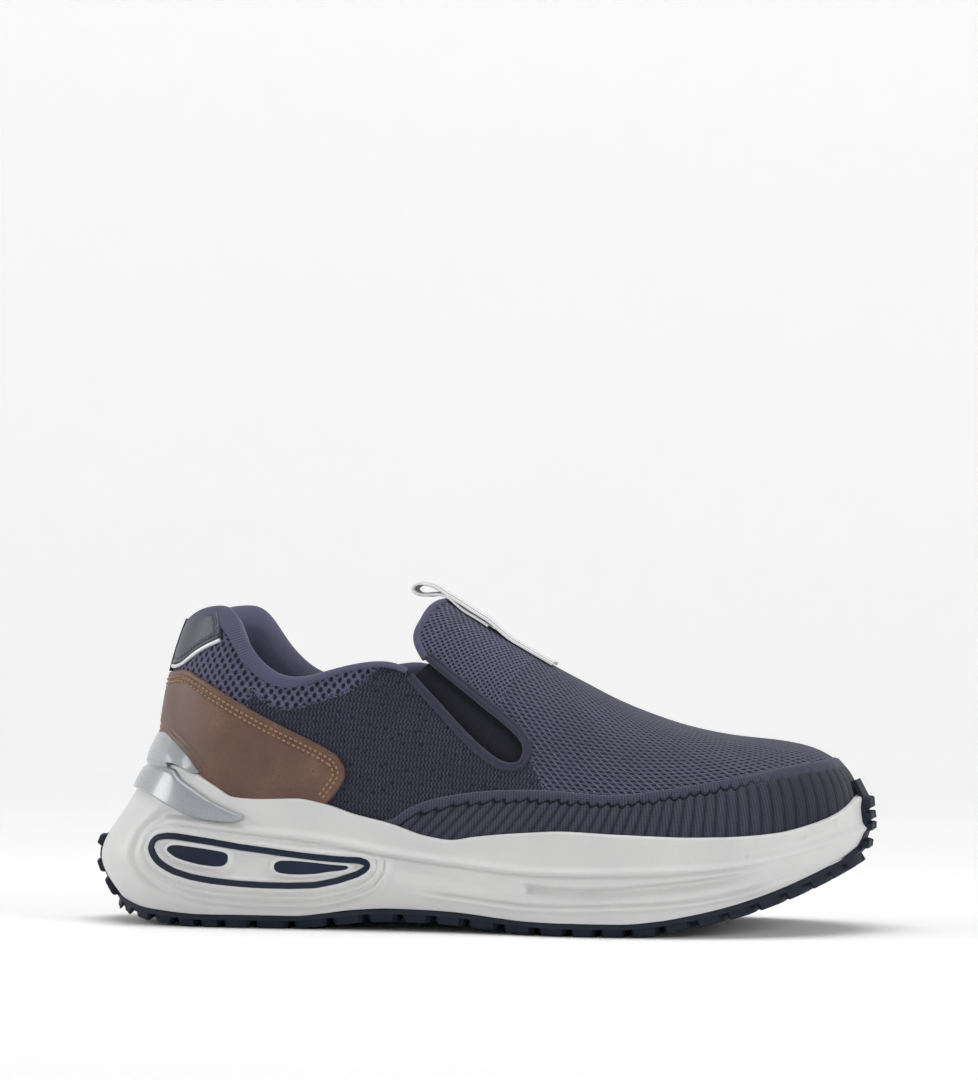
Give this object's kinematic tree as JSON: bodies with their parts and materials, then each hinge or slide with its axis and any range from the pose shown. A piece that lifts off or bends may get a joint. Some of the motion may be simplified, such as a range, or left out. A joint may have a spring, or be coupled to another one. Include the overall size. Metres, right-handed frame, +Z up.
{
  "type": "slip-on sneaker",
  "caption": "Low slip-on knit sneaker for the right foot, with elastic side slots, a pull tab, a padded collar and a thick ribbed foam sole on a lugged rubber tread.",
  "frame": {"origin": "on the floor under the middle of the heel, on the flat bottom of a tread lug", "axes": "+X to the toe, +Y to the inner (medial) side of the right foot, +Z up"},
  "size_m": [0.3012, 0.1128, 0.1292],
  "materials": {
    "upper": "matte one-piece knit in navy, open mesh and ribbed zones",
    "midsole": "matte moulded foam, off-white",
    "outsole": "matte navy rubber",
    "insole": "brushed cloth over foam",
    "window_ring_lateral": "satin navy rubber",
    "window_ring_medial": "satin navy rubber",
    "window_bar_rear_lateral": "satin navy rubber",
    "window_bar_rear_medial": "satin navy rubber",
    "window_bar_front_lateral": "satin navy rubber",
    "window_bar_front_medial": "satin navy rubber",
    "gore_lateral": "matte ribbed elastic, near black",
    "gore_medial": "matte ribbed elastic, near black",
    "gore_binding_lateral": "folded woven tape, navy",
    "gore_binding_medial": "folded woven tape, navy",
    "heel_clip": "satin moulded plastic, pearl grey",
    "counter_panel": "smooth tan leather with a stitched edge",
    "heel_tab": "grained synthetic leather, navy",
    "reflective_piping": "silver reflective piping",
    "heel_strap": "woven webbing, dark navy",
    "collar_lining": "soft knitted lining over padding",
    "pull_tab": "woven webbing, white with grey edges"
  },
  "bodies": {
    "root": {"upper": "upper", "midsole": "midsole", "outsole": "outsole", "insole": "insole", "window_ring_lateral": "window_ring_lateral", "window_ring_medial": "window_ring_medial", "window_bar_rear_lateral": "window_bar_rear_lateral", "window_bar_rear_medial": "window_bar_rear_medial", "window_bar_front_lateral": "window_bar_front_lateral", "window_bar_front_medial": "window_bar_front_medial", "gore_lateral": "gore_lateral", "gore_medial": "gore_medial", "gore_binding_lateral": "gore_binding_lateral", "gore_binding_medial": "gore_binding_medial", "heel_clip": "heel_clip", "counter_panel": "counter_panel", "heel_tab": "heel_tab", "reflective_piping": "reflective_piping", "heel_strap": "heel_strap", "collar_lining": "collar_lining", "pull_tab": "pull_tab"}
  },
  "joints": []
}
